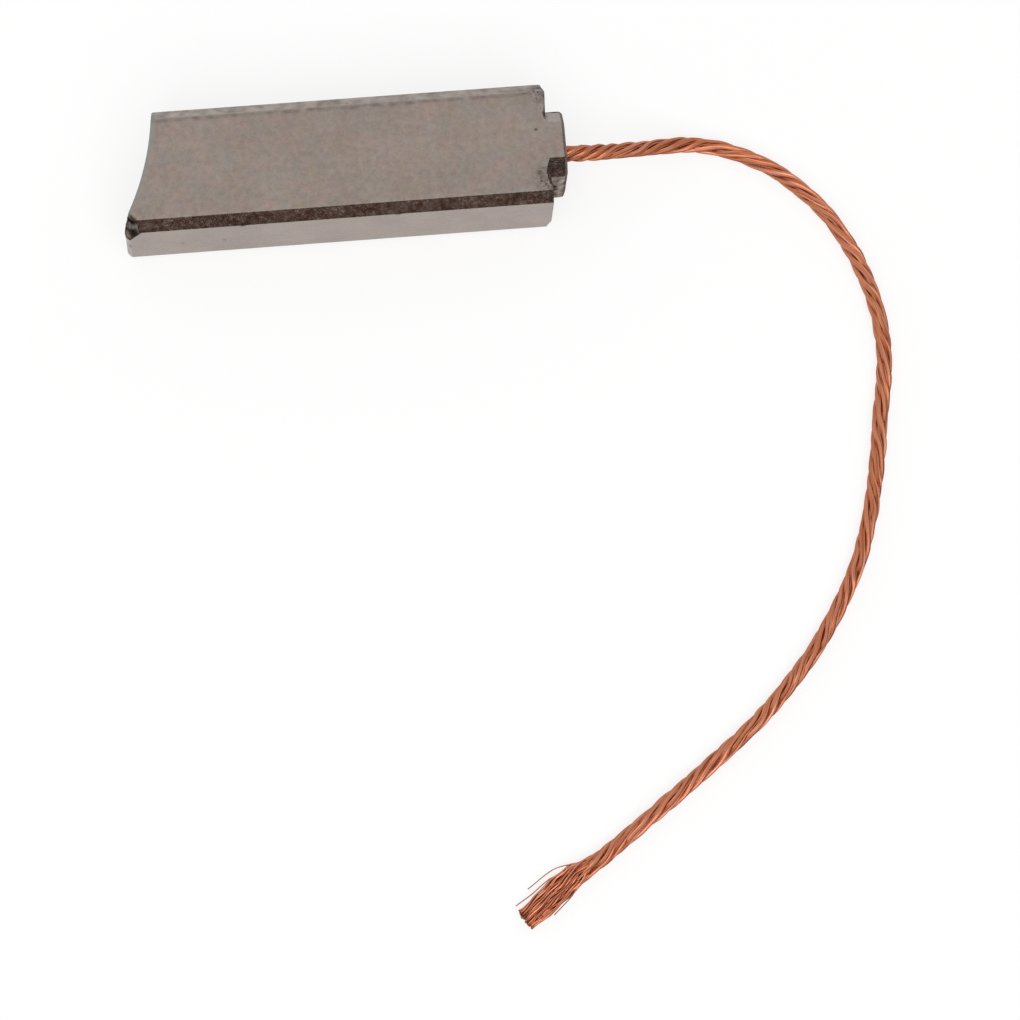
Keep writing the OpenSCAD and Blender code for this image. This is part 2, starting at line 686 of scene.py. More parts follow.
@dataclass(frozen=True)
class DrawnGraphite(GroundGraphite):
    """A finish whose fine scores all run one way."""

    score_scale: Triple = (0.25, 0.25, 16.0)
    score_strength: float = 0.8

    def _relief(self, sheet: NodeSheet, place: Socket, holes: Socket) -> Socket:
        """Give the normal of the scored surface.

        Args:
            sheet: The material's sheet.
            place: Place on the piece.
            holes: Mask of the pores, pits and dents.

        Returns:
            The normal's output.
        """
        drawn = sheet.add("ShaderNodeMapping", Vector=place, Scale=self.score_scale)
        scores = sheet.noise(drawn.outputs["Vector"], 1.0, 4.0, 0.7)
        bump = sheet.add("ShaderNodeBump", Strength=self.score_strength,
                         Distance=self.bump_distance, Height=sheet.math("SUBTRACT", scores, holes))
        return bump.outputs["Normal"]


@dataclass(frozen=True)
class BeddedGraphite(DrawnGraphite):
    """The contact face, rubbed smooth by the commutator and scored along its motion."""

    roughness: float = 0.24


@dataclass(frozen=True)
class SlidGraphite(DrawnGraphite):
    """The sides, which slide along the holder and carry faint marks along the block, in colours
    made lighter as painted light.
    """

    # A little lighter than the ground face's colours: painted light on the sides.
    warm: Colour = (0.318, 0.241, 0.212, 1)
    cool: Colour = (0.290, 0.248, 0.228, 1)
    earthy: Colour = (0.303, 0.249, 0.206, 1)
    cloud_depth: float = 0.45
    grain_depth: float = 0.8
    score_scale: Triple = (0.7, 5.0, 5.0)
    score_strength: float = 0.7


@dataclass(frozen=True)
class StrandCopper:
    """Bare drawn copper wire: bright where it is rubbed, brown down between the strands from oxide
    and painted shade.
    """

    mottle: bpy.types.NodeTree
    bright: Colour = (0.58, 0.235, 0.140, 1)
    orange: Colour = (0.47, 0.155, 0.075, 1)
    shade_and_oxide: Colour = (0.26, 0.075, 0.032, 1)
    streak_scale: Triple = (14.0, 14.0, 0.7)
    cloud_share: float = 0.5
    wire_share: float = 0.16
    roughness: float = 0.36
    grain_roughness: float = 0.4
    bump_distance: float = 0.00001
    bump_strength: float = 0.7

    def build(self, name: str) -> bpy.types.Material:
        """Build the material.

        Args:
            name: Name of the material.

        Returns:
            The material, which reads the lead's lay and shade attributes, and the one that holds
            painted shade with oxide in its hollows.
        """
        material, sheet = new_material(name)
        lay = sheet.attribute("lay", "Vector")
        drawn = sheet.add("ShaderNodeMapping", Vector=lay, Scale=self.streak_scale)
        streaks = sheet.noise(drawn.outputs["Vector"], 1.0, 3.0, 0.6)
        tone = place_group(sheet, self.mottle, Vector=lay, Cloud_Scale=0.5, Grain_Scale=5.0,
                           Tint_Scale=1.6)
        level = sheet.plus(streaks, sheet.times(tone.outputs["Cloud"], self.cloud_share))
        level = sheet.plus(level, sheet.times(sheet.attribute("shade"), self.wire_share))
        colour = sheet.mix(sheet.span(level, 0.36, 0.66), self.orange, self.bright)
        # Painted shade, with oxide, in the hollows between wires and strands.
        colour = sheet.mix(sheet.attribute("hollow_shade_and_oxide"), colour, self.shade_and_oxide)
        rough = sheet.plus(sheet.times(tone.outputs["Grain"], self.grain_roughness), self.roughness)
        bump = sheet.add("ShaderNodeBump", Strength=self.bump_strength, Distance=self.bump_distance,
                         Height=streaks)
        shader = sheet.add("ShaderNodeBsdfPrincipled", Base_Color=colour, Metallic=1.0,
                           Roughness=rough, Normal=bump.outputs["Normal"])
        sheet.add("ShaderNodeOutputMaterial", Surface=shader.outputs["BSDF"])
        return material


# --- The block ----------------------------------------------------------------------------


@dataclass
class SpotWear:
    """What wear has done at one place of the block's surface, with the painted shade there."""

    wear: float = 0.0
    soot_and_shade: float = 0.0
    grit: float = 0.0
    rim: float = 0.0
    sink: float = 0.0


@dataclass(frozen=True)
class Blemish:
    """A spot where the block is crumbled, pitted or dirty, or painted with shade, in millimetres.
    """

    place: Triple
    reach: float
    depth: float = 0.0
    soot_and_shade: float = 0.0
    grit: float = 0.0
    tall: float = 1.0

    def mark(self, spot: Vector, here: SpotWear) -> None:
        """Add what the blemish does to one place of the surface.

        Args:
            spot: The place.
            here: The wear at that place.
        """
        step = spot - Vector(self.place)
        away = Vector((step.x, step.y, step.z / self.tall)).length / self.reach
        if away < 1:
            share = (1 - away**2) * held_share(0.6 + layered_noise(spot * 3.1, falloff=0.5))
            here.sink += self.depth * share
            here.soot_and_shade = max(here.soot_and_shade, self.soot_and_shade * share)
            here.grit = max(here.grit, self.grit * min(1.0, 2 - 2 * away))


@dataclass(frozen=True)
class Break:
    """A corner that a bar has lost, with how far the break reaches along X, Y and Z."""

    corner: Triple
    legs: Triple

    def plane(self) -> tuple[Vector, Vector]:
        """Give the break's plane.

        Returns:
            A point on the plane, and its unit normal, which points into the bar.
        """
        slope = Vector(1 / leg for leg in self.legs)
        return Vector(self.corner) + slope / slope.length_squared, slope.normalized()


@dataclass
class BrushBlock:
    """The pressed block with its ground contact face, its stub and its wear, in millimetres."""

    width: float = 8.0
    thickness: float = 6.3
    length: float = 27.4
    chamfer: float = 0.65
    commutator_radius: float = 17.7
    commutator_offset: float = 5.35
    commutator_sides: int = 360
    tip_flat: float = 0.7
    stub_length: float = 1.1
    stub_width: float = 4.4
    stub_chamfer: float = 1.0
    run_out: float = 0.3
    run_out_sides: int = 48
    socket_diameter: float = 1.1
    socket_depth: float = 7.0
    socket_sides: int = 32
    tip_chip: float = 1.5
    corner_wear: float = 1.8
    edge_wear: float = 0.3
    arris: float = 0.15
    stub_arris: float = 0.3
    arris_steps: int = 3
    voxel: float = 0.117
    remesh_depth: int = 8
    remesh_fill: float = 0.95
    rub_reach: float = 0.3
    rub_depth: float = 0.005
    chip_band: float = 0.04
    chip_roughness: float = 0.16
    chip_grit: float = 0.6
    dust_reach: float = 0.33
    dust_full: float = 0.22
    far_line: float = 0.17
    far_line_dark: float = 0.48
    end_dark: float = 0.6
    smooth_angle: float = 35.0
    over: float = 1.0
    touch: float = 0.01
    skin: float = 0.05
    blemishes: list[Blemish] = field(default_factory=list)

    def __post_init__(self) -> None:
        """Work out the block's main planes and its breaks from its sizes."""
        total = self.length + self.stub_length
        self.tip_x = -total / 2
        self.end_x = total / 2
        self.shoulder_x = self.end_x - self.stub_length
        self.near_y = -self.width / 2
        self.middle_z = self.thickness / 2
        flat_y = self.near_y + self.tip_flat - self.commutator_offset
        self.commutator_x = self.tip_x - math.sqrt(self.commutator_radius**2 - flat_y**2)
        chip, wear, strip = self.tip_chip, self.corner_wear, self.edge_wear
        chipped = Break((self.tip_x, self.near_y, self.thickness), (0.85 * chip, chip, -1.6 * chip))
        self.chip_plane = chipped.plane()
        self.block_breaks = (
            chipped,
            Break((self.tip_x, self.near_y, 0), (strip, strip, 4 * self.thickness)),
            Break((self.tip_x, self.near_y, 0), (0.25 * wear, 0.35 * wear, 0.7 * wear)),
            Break((self.shoulder_x, self.near_y, 0), (-0.25 * wear, 0.5 * wear, wear)),
            Break((self.shoulder_x, -self.near_y, self.thickness),
                  (-0.17 * wear, -0.42 * wear, -1.1 * wear)),
        )
        self.stub_breaks = (
            Break((self.end_x, -self.stub_width / 2, 0), (-0.15 * wear, 0.45 * wear, 1.35 * wear)),
        )

    def build(self) -> bpy.types.Object:
        """Model the block.

        Returns:
            The finished block, in metres, with no material yet.
        """
        block = self._bar("brush_block_body", self.tip_x, self.shoulder_x, self.width, self.chamfer)
        self._break_corners(block, self.block_breaks)
        stub = self._bar("stub", self.shoulder_x - self.over, self.end_x, self.stub_width,
                         self.stub_chamfer)
        self._round_edges(stub, lambda spot: spot.x > self.end_x - self.touch, self.stub_arris)
        self._break_corners(stub, self.stub_breaks)
        combine(block, stub, "UNION")
        combine(block, self._commutator(), "DIFFERENCE")
        self._round_edges(block, lambda spot: abs(self._from_commutator(spot)) < self.touch,
                          self.arris)
        combine(block, self._socket(), "DIFFERENCE")
        for side in (-1, 1):
            for level in (-1, 1):
                combine(block, self._run_out_cutter(side, level), "DIFFERENCE")
        edges = self._sharp_edge_points(block)
        self._remesh(block)
        self._weather(block, edges)
        into_metres(block)
        return block

    def dress(self, block: bpy.types.Object, finishes: dict[Region, bpy.types.Material]) -> None:
        """Give each region of the block its finish.

        Args:
            block: The finished block.
            finishes: The material of each region.
        """
        block.data.materials.clear()
        for region in Region:
            block.data.materials.append(finishes[region])
        axis = Vector((self.commutator_x, self.commutator_offset, 0)) * MM
        bedded = (self.commutator_radius + 2 * self.voxel) * MM
        for face in block.data.polygons:
            away = face.center - axis
            region = Region.GROUND
            if math.hypot(away.x, away.y) < bedded and abs(face.normal.z) < 0.7:
                region = Region.BEDDED
            elif min(abs(face.normal.y), abs(face.normal.z)) > 0.5:
                region = Region.DIE_SKIN
            elif abs(face.normal.z) < 0.5 and face.center.x < self.shoulder_x * MM:
                region = Region.SLID
            face.material_index = region.value

    def _bar(self, name: str, from_x: float, to_x: float, width: float,
             chamfer: float) -> bpy.types.Object:
        """Model a bar along X whose four long edges are chamfered.

        Args:
            name: Name of the bar.
            from_x: Where it starts.
            to_x: Where it ends.
            width: Its width. Its thickness is the block's.
            chamfer: Width of the chamfers along its edges' faces.

        Returns:
            The bar.
        """
        deselect_all()
        bpy.ops.mesh.primitive_cube_add(size=1, location=(0, 0, 0))
        bar = named_active(name)
        bpy.ops.object.mode_set(mode="EDIT")
        bpy.ops.transform.resize(value=(to_x - from_x, width, self.thickness))
        bpy.ops.transform.translate(value=((from_x + to_x) / 2, 0, self.middle_z))
        bpy.ops.mesh.select_all(action="DESELECT")
        bpy.ops.mesh.select_mode(type="EDGE")
        sheet = bmesh.from_edit_mesh(bar.data)
        for edge in sheet.edges:
            along = (edge.verts[1].co - edge.verts[0].co).normalized()
            edge.select_set(abs(along.x) > 0.9)
        bmesh.update_edit_mesh(bar.data)
        bpy.ops.mesh.bevel(offset_type="OFFSET", offset=chamfer, segments=1, affect="EDGES")
        bpy.ops.object.mode_set(mode="OBJECT")
        return bar

    def _commutator(self) -> bpy.types.Object:
        """Model the commutator's surface as a cutter.

        Returns:
            The cutter, which passes beyond both wide faces.
        """
        foot = Vector((self.commutator_x, self.commutator_offset, -self.over))
        head = foot + Vector((0, 0, self.thickness + 2 * self.over))
        return cylinder("commutator", foot, head, self.commutator_radius, self.commutator_sides)

    def _socket(self) -> bpy.types.Object:
        """Model the blind hole of the lead as a cutter.

        Returns:
            The cutter, which passes beyond the stub's end.
        """
        bottom = Vector((self.end_x - self.socket_depth, 0, self.middle_z))
        mouth = Vector((self.end_x + self.over, 0, self.middle_z))
        return cylinder("socket", bottom, mouth, self.socket_diameter / 2, self.socket_sides)

    def _run_out_cutter(self, side: int, level: int) -> bpy.types.Object:
        """Model the round end of the cutter of one stub chamfer.

        Args:
            side: 1 for the far edges, -1 for the near ones.
            level: 1 for the upper edges, -1 for the lower ones.

        Returns:
            The cutter, which just meets both edges of the chamfer at the shoulder.
        """
        half = self.stub_chamfer / math.sqrt(2)
        radius = (half**2 + self.run_out**2) / (2 * self.run_out)
        edge = Vector((self.shoulder_x - self.run_out + radius,
                       side * (self.stub_width - self.stub_chamfer) / 2,
                       self.middle_z + level * (self.thickness - self.stub_chamfer) / 2))
        outward = Vector((0, side, level)).normalized()
        return cylinder("run_out", edge, edge + outward * self.width, radius, self.run_out_sides)

    def _break_corners(self, bar: bpy.types.Object, breaks: tuple[Break, ...]) -> None:
        """Break off the corners that a bar has lost.

        Args:
            bar: The bar.
            breaks: Its lost corners.
        """
        for lost in breaks:
            point, inward = lost.plane()
            activate(bar)
            bpy.ops.object.mode_set(mode="EDIT")
            bpy.ops.mesh.select_all(action="SELECT")
            bpy.ops.mesh.bisect(plane_co=point, plane_no=inward, use_fill=True, clear_inner=True)
            bpy.ops.object.mode_set(mode="OBJECT")

    def _round_edges(self, bar: bpy.types.Object, along: Callable[[Vector], bool],
                     reach: float) -> None:
        """Round some square edges a little.

        Args:
            bar: The piece.
            along: Tells whether a corner of the piece is on such an edge.
            reach: How far the rounding reaches from the edge.
        """
        activate(bar)
        bpy.ops.object.mode_set(mode="EDIT")
        bpy.ops.mesh.select_all(action="DESELECT")
        bpy.ops.mesh.select_mode(type="EDGE")
        sheet = bmesh.from_edit_mesh(bar.data)
        for edge in sheet.edges:
            square = edge.calc_face_angle(0) > math.radians(60)
            edge.select_set(square and all(along(v.co) for v in edge.verts))
        bmesh.update_edit_mesh(bar.data)
        bpy.ops.mesh.bevel(offset_type="OFFSET", offset=reach, segments=self.arris_steps,
                           affect="EDGES")
        bpy.ops.object.mode_set(mode="OBJECT")

    def _from_commutator(self, spot: Vector) -> float:
        """Measure how far a place is outside the commutator's surface."""
        away = math.hypot(spot.x - self.commutator_x, spot.y - self.commutator_offset)
        return away - self.commutator_radius

    def _sharp_edge_points(self, block: bpy.types.Object) -> kdtree.KDTree:
        """Lay points along every sharp edge, for finding distances to the edges.

        Args:
            block: The block, before it is meshed evenly.

        Returns:
            The points, ready to be searched.
        """
        sheet = bmesh.new()
        sheet.from_mesh(block.data)
        points: list[Vector] = []
        for edge in sheet.edges:
            if len(edge.link_faces) != 2 or edge.calc_face_angle(0) < math.radians(20):
                continue
            start, end = (v.co for v in edge.verts)
            steps = max(1, math.ceil((end - start).length / self.voxel))
            points += [start.lerp(end, i / steps) for i in range(steps + 1)]
        sheet.free()
        tree = kdtree.KDTree(len(points))
        for i, point in enumerate(points):
            tree.insert(point, i)
        tree.balance()
        return tree

    def _remesh(self, block: bpy.types.Object) -> None:
        """Cover the block with an even fine mesh, whose edges are just broken.

        Args:
            block: The block.
        """
        remesh = block.modifiers.new("even_mesh", "REMESH")
        remesh.mode = "SHARP"
        remesh.octree_depth = self.remesh_depth
        remesh.scale = self.remesh_fill
        remesh.use_remove_disconnected = False
        apply_modifiers(block)

    def _weather(self, block: bpy.types.Object, edges: kdtree.KDTree) -> None:
        """Wear the surface, and keep the wear, with the painted shade, as attributes of the mesh.

        Args:
            block: The evenly meshed block.
            edges: Points along its sharp edges.
        """
        mesh = block.data
        places = [(v.co.copy(), v.normal.copy()) for v in mesh.vertices]
        worn = [self._wear_at(spot, edges.find(spot)[2]) for spot, _ in places]
        for vertex, (spot, normal), here in zip(mesh.vertices, places, worn):
            if here.sink:
                vertex.co = spot - normal * here.sink
        for name in ("wear", "soot_and_shade", "grit", "rim"):
            store(mesh, name, np.array([getattr(here, name) for here in worn]))
        activate(block)
        bpy.ops.object.shade_smooth_by_angle(angle=math.radians(self.smooth_angle))

    def _wear_at(self, spot: Vector, gap: float) -> SpotWear:
        """Work out what wear has done at one place.

        Args:
            spot: The place.
            gap: Its distance from the nearest sharp edge.

        Returns:
            The wear at that place.
        """
        here = SpotWear()
        if gap < self.rub_reach:
            here.wear = 1 - gap / self.rub_reach
            here.sink += self.rub_depth * here.wear * (layered_noise(spot * 0.9, 2) + 0.3)
        self._crumble_chip(spot, gap, here)
        for blemish in self.blemishes:
            blemish.mark(spot, here)
        # Painted shade on the stub and at the shoulder joins the dirt here.
        here.soot_and_shade = max(here.soot_and_shade, self._far_darkening(spot), self._stub_painted_shade(spot))
        if spot.z > self.thickness - self.arris:
            waver = 0.04 * noise.noise(spot * 2.0)
            from_rim = self._from_commutator(spot) + waver
            here.rim = float(smoothstep(self.dust_reach, self.dust_full, from_rim))
        return here

    def _crumble_chip(self, spot: Vector, gap: float, here: SpotWear) -> None:
        """Roughen and darken a place if it is on the chip at the contact tip.

        Args:
            spot: The place.
            gap: Its distance from the nearest sharp edge.
            here: The wear at that place.
        """
        point, inward = self.chip_plane
        band = self.chip_band * (1 + noise.noise(spot * 4.0))
        if abs((spot - point).dot(inward)) >= band or spot.x >= self.tip_x / 2:
            return
        crumb = self.chip_roughness * layered_noise(spot * 1.9)
        here.sink += crumb * (0.3 + min(0.7, gap / 0.25))
        here.soot_and_shade = held_share(0.6 + 1.3 * noise.noise(spot * 1.7))
        if spot.y < self.near_y + 1:
            here.soot_and_shade = max(here.soot_and_shade, 1.0 - gap / 0.3)
        here.grit = self.chip_grit

    def _far_darkening(self, spot: Vector) -> float:
        """Find the darkening on the far chamfer and in a line beside its upper edge.

        Args:
            spot: A place on the surface.

        Returns:
            How dark it is there, from 0 to 1.
        """
        inside = -self.near_y - self.chamfer - spot.y
        if -self.chamfer < inside < 0 and spot.z > self.thickness - self.chamfer:
            return held_share(0.1 + 0.3 * layered_noise(spot * 1.3))
        middle = self.far_line + 0.1 * noise.noise(Vector((spot.x * 0.8, 1.0, 0.0)))
        if spot.z < self.thickness - self.skin or not 0 <= inside < 2 * middle:
            return 0.0
        fade = max(0.0, 0.7 + noise.noise(Vector((spot.x * 1.9, 7.0, 0.0))))
        return self.far_line_dark * fade * (1 - abs(inside - middle) / middle)

    def _stub_painted_shade(self, spot: Vector) -> float:
        """Find the painted shade at the shoulder and on the stub's sides, and the darkening near
        the stub's end.

        Args:
            spot: A place on the surface.

        Returns:
            How dark it is painted there, from 0 to 1.
        """
        # Darker towards the stub's end.
        end_edge = smoothstep(self.end_x - 0.28, self.end_x - 0.12, spot.x)
        on_end = self.end_dark * float(end_edge)
        if abs(spot.y) < self.stub_width / 2 - self.stub_chamfer - self.skin:
            return 0.5 * on_end
        if spot.x < self.shoulder_x - self.skin:
            return 0.0
        # Painted shade in the recess where the stub meets the shoulder.
        if spot.x < self.shoulder_x + self.skin:
            return held_share(0.15 + 0.3 * layered_noise(spot * 1.2))
        if abs(spot.y) < self.stub_width / 2 - 2 * self.skin:
            return on_end
        # Painted shade on the stub's sides.
        place = Vector((1.6 * spot.x, spot.y, 0.7 * spot.z))
        return held_share(0.3 + 0.7 * layered_noise(place) + on_end, 0.9)


# --- The lead -----------------------------------------------------------------------------


# A step that spreads points evenly round a circle, in radians and as a share of the circle
GOLDEN_TURN = 2.4
GOLDEN_SHARE = 0.382


@dataclass
class Tube:
    """Rings of a closed tube, with what its surface carries."""

    points: np.ndarray
    hollow_shade_and_oxide: np.ndarray
    lay: np.ndarray
    shade: np.ndarray


@dataclass(frozen=True)
class LooseWire:
    """A wire that stands away from the cut end, as steps along and across the lead."""

    start: float
    route: Profile


@dataclass
class Lead:
    """The twisted copper lead with its splayed cut end, in millimetres."""

    diameter: float = 1.0
    exit_point: Triple = (14.25, 0, 3.15)
    held_length: float = 6.95
    ring_step: float = 0.28
    strands: int = 5
    strand_radius: float = 0.22
    core_share: float = 0.9
    lay_radius: float = 0.28
    pitch: float = 7.2
    exit_pitch: float = 4.8
    exit_run: float = 4.6
    exit_swell: float = 0.03
    exit_darkening: float = 0.22
    wire_lobes: int = 8
    lobe_sides: int = 4
    lobe_depth: float = 0.10
    wire_pitch: float = 9.0
    # How much painted shade darkens the valleys between strands and the grooves between wires.
    valley_dark: float = 0.62
    groove_dark: float = 0.28
    splay_length: float = 6.2
    splay_blend: float = 2.2
    wires_per_strand: int = 9
    wire_radius: float = 0.072
    wire_sides: int = 6
    wire_rings: int = 30
    core_spread: float = 0.4
    trim: float = 0.15
    deep_trim: float = 0.25
    wire_waver: float = 0.07
    filling_size: tuple[float, float] = (0.78, 0.62)
    filling_sides: int = 16
    filling_dark: float = 0.3
    loose_thinness: float = 0.45
    loose_dark: float = 0.8
    loose_rings: int = 24
    swell: Profile = ((0, 1.0), (0.8, 1.3), (1.75, 1.8), (4.5, 1.84), (5.6, 1.68), (6.3, 1.62))
    drift: Profile = ((0, -0.05), (0.8, -0.11), (1.75, -0.22), (2.7, -0.15), (3.5, -0.09),
                      (4.5, 0.0), (6.3, -0.03))
    free_route: tuple[Triple, ...] = (
        (16.2, 0, 3), (18.2, 0.2, 2.4), (20.2, 0.5, 1.6), (22.2, 0.8, 0.9),
        (24.2, 0.6, 0), (26, -0.1, 0), (27.8, -1.1, 0), (29.3, -2.4, 0),
        (31, -4.3, 0), (32.2, -6.4, 0), (33.1, -8.6, 0), (33.7, -11, 0),
        (33.9, -13.4, 0), (33.7, -15.8, 0), (33.2, -18.2, 0), (32.8, -20.6, 0),
        (32.3, -23, 0), (31.6, -25.6, 0), (30.6, -28.2, 0), (29.2, -30.7, 0),
        (27.5, -33.2, 0), (25.6, -35.4, 0), (23.4, -37.6, 0), (21, -39.5, 0),
        (18.5, -41.4, 0), (16, -43.2, 0), (13.5, -45, 0), (11.8, -46.2, 0),
        (10.1, -47.3, 0), (8.6, -48.4, 0), (7.4, -49.2, 0),
    )
    loose_wires: tuple[LooseWire, ...] = (
        LooseWire(1.2, ((0.4, -0.9), (1.4, -1.35), (2.5, -1.42), (3.5, -1.45))),
        LooseWire(2.4, ((0.5, -1.0), (1.4, -1.05), (2.4, -1.03), (3.6, -1.1))),
        LooseWire(2.2, ((0.6, 0.71), (1.4, 0.8), (2.3, 0.87))),
    )

    def __post_init__(self) -> None:
        """Lay the centre line and its frame, and set up the repeatable random draws."""
        self.random = np.random.default_rng(SEED)
        self.line = self._centre_line()
        steps = np.linalg.norm(np.diff(self.line, axis=0), axis=1)
        self.along = np.concatenate([[0], np.cumsum(steps)])
        self.length = float(self.along[-1])
        self.tangent = unit_rows(np.gradient(self.line, self.along, axis=0))
        self.side = unit_rows(np.cross((0, 0, 1), self.tangent))
        self.up = np.cross(self.tangent, self.side)
        self.splay_start = self.length - self.splay_length
        self.spread_radius = self.diameter / 2 - self.wire_radius

    def build(self) -> bpy.types.Object:
        """Model the strands and the splayed wires as one piece.

        Returns:
            The lead, in metres, with its attributes but no material yet.
        """
        tubes = [self._strand(k) for k in range(self.strands)]
        tubes.append(self._core())
        for k in range(self.strands + 1):
            tubes += [self._wire(k, j) for j in range(self.wires_per_strand)]
        tubes.append(self._filling())
        tubes += [self._loose_wire(wire) for wire in self.loose_wires]
        lead = joined_tubes("copper_lead", tubes)
        into_metres(lead)
        return lead

    def _centre_line(self) -> np.ndarray:
        """Draw one smooth curve through the route's points.

        Returns:
            Points of the curve, in even steps, none lower than the lead's radius.
        """
        start = np.array(self.exit_point)
        held = [start - (self.held_length * share, 0, 0) for share in (1, 2 / 3, 1 / 3, 0)]
        free = [(x, y, max(z, self.diameter / 2)) for x, y, z in self.free_route]
        points = np.array([*held, *free], float)
        ends = [2 * points[0] - points[1], *points, 2 * points[-1] - points[-2]]
        curve = []
        for a, b, c, d in zip(ends, ends[1:], ends[2:], ends[3:]):
            for t in np.linspace(0, 1, 16, endpoint=False):
                curve.append(0.5 * (2 * b + (c - a) * t + (2 * a - 5 * b + 4 * c - d) * t**2
                                    + (3 * b - a - 3 * c + d) * t**3))
        line = even_steps(np.array([*curve, points[-1]]), self.ring_step)
        line = evened_out(line, 6)
        line[:, 2] = np.maximum(line[:, 2], self.diameter / 2)
        return line

    def _lay_angle(self, along: np.ndarray) -> np.ndarray:
        """Turn the strands round the lead, tighter at the exit and opened at the cut end.

        Args:
            along: Distances along the lead.

        Returns:
            The lay's turn at each distance, in radians.
        """
        step = 0.1
        fine = np.arange(0, self.length + step, step)
        from_exit = np.abs(fine - self.held_length - self.exit_run / 2)
        loose = smoothstep(self.exit_run / 2, self.exit_run, from_exit)
        pitch = self.exit_pitch + (self.pitch - self.exit_pitch) * loose
        opened = smoothstep(self.splay_start - 1, self.splay_start + 2.5, fine)
        rate = 2 * math.pi / pitch * (1 - 0.8 * opened)
        uneven = 0.16 * np.sin(fine * 0.83) + 0.11 * np.sin(fine * 1.91 + 1)
        turned = np.concatenate([[0], np.cumsum(rate[:-1]) * step]) + uneven
        return -np.interp(along, fine, turned)

    def _frame_at(self, along: np.ndarray) -> tuple[np.ndarray, np.ndarray, np.ndarray]:
        """Give the centre line and its frame at some distances along the lead.

        Args:
            along: The distances.

        Returns:
            The line's points there, with the directions to its side and upwards.
        """
        line, side, up = (
            np.stack([np.interp(along, self.along, part[:, i]) for i in range(3)], axis=1)
            for part in (self.line, self.side, self.up))
        return line, side, up

    def _beside(self, along: np.ndarray, sideways: np.ndarray, upward: np.ndarray) -> np.ndarray:
        """Give points beside the centre line.

        Args:
            along: Distance of each point along the lead.
            sideways: How far each point lies to the side.
            upward: How far each point lies above.

        Returns:
            The points.
        """
        line, side, up = self._frame_at(along)
        return line + sideways[:, None] * side + upward[:, None] * up

    def _waver(self, along: np.ndarray, size: float, wave: float) -> np.ndarray:
        """Draw a smooth random waver along a strand or wire.

        Args:
            along: Distances along the lead.
            size: About how far it goes to each side.
            wave: Length of its longest wave.

        Returns:
            The waver at each distance.
        """
        phase = self.random.uniform(0, 2 * math.pi, 3)
        turns = along[:, None] * np.array([1.0, 1.7, 2.9]) * 2 * math.pi / wave
        return size * np.sin(turns + phase).mean(axis=1) * 1.7

    def _strand(self, k: int) -> Tube:
        """Model one outer strand, which thins out where its wires splay.

        Args:
            k: Number of the strand.

        Returns:
            The strand.
        """
        splayed = self.splay_start + self.splay_blend
        last = int(np.searchsorted(self.along, splayed))
        along = self.along[:last]
        turn = self._lay_angle(along) + 2 * math.pi * k / self.strands
        turn = turn + self._waver(along, 0.09, 6)
        at_exit = smoothstep(2.5, 0.8, np.abs(along - self.held_length - 0.6))
        reach = self.lay_radius + self._waver(along, 0.012, 5)
        reach = reach + at_exit * (self.exit_swell + self._waver(along, 0.04, 3))
        reach = reach * (1 + 0.45 * smoothstep(self.splay_start - 1.0, splayed, along))
        centre = self._beside(along, reach * np.cos(turn), reach * np.sin(turn))
        radius = self.strand_radius * (1 + self._waver(along, 0.05, 4))
        radius = radius * (1 - 0.75 * smoothstep(self.splay_start, splayed, along))
        return self._lobed(centre, self.line[:last], radius, along, k)

    def _core(self) -> Tube:
        """Model the core strand, which the outer strands are laid round.

        Returns:
            The core.
        """
        last = int(np.searchsorted(self.along, self.splay_start + 1.5))
        line = self.line[:last]
        radius = np.full(last, self.strand_radius * self.core_share)
        return self._lobed(line, line - (0, 0, 1), radius, self.along[:last], self.strands)

    def _lobed(self, centre: np.ndarray, middle: np.ndarray, radius: np.ndarray,
               along: np.ndarray, k: int) -> Tube:
        """Sweep a section along a strand whose wires show as lobes round it.

        Args:
            centre: The strand's own centre line.
            middle: Points that its outer side faces away from.
            radius: Its radius at each ring.
            along: Distance of each ring along the lead.
            k: Number of the strand.

        Returns:
            The strand.
        """
        tangent = unit_rows(np.gradient(centre, axis=0))
        outward = centre - middle
        outward = unit_rows(outward - (outward * tangent).sum(axis=1)[:, None] * tangent)
        angle = round_angles(self.lobe_sides * self.wire_lobes)
        turned = angle[None, :] + 2 * math.pi * along[:, None] / self.wire_pitch
        lobes = 1 + self.lobe_depth * np.cos(self.wire_lobes * angle)[None, :]
        spread = radius[:, None] * lobes
        points = swept(centre, outward, np.cross(tangent, outward), spread * np.cos(turned),
                       spread * np.sin(turned))
        points[:, :, 2] = np.maximum(points[:, :, 2], 0)
        outer = np.cos(turned) * radius[:, None] + np.linalg.norm(centre - middle, axis=1)[:, None]
        valley = smoothstep(0.05, 0.2, self.lay_radius + self.strand_radius - outer)
        groove = (1 - (lobes - 1) / self.lobe_depth) / 2
        # Darker near the exit.
        darkened_at_exit = smoothstep(self.exit_run, 0.5, np.abs(along - self.held_length - 1.0))
        # Painted shade in the valleys between strands and the grooves between wires.
        depth = self.valley_dark * valley + self.groove_dark * groove**2
        depth = depth + self.exit_darkening * darkened_at_exit[:, None]
        lay = lay_of(spread * np.cos(angle) + 3.0 * k, spread * np.sin(angle), along)
        tones = self.random.uniform(-0.6, 0.6, self.wire_lobes) + self.random.uniform(-0.5, 0.5)
        wire = np.round(angle * self.wire_lobes / (2 * math.pi)).astype(int) % self.wire_lobes
        shade = np.broadcast_to(tones[wire], spread.shape)
        return Tube(points, np.clip(depth, 0, 1), lay, shade)

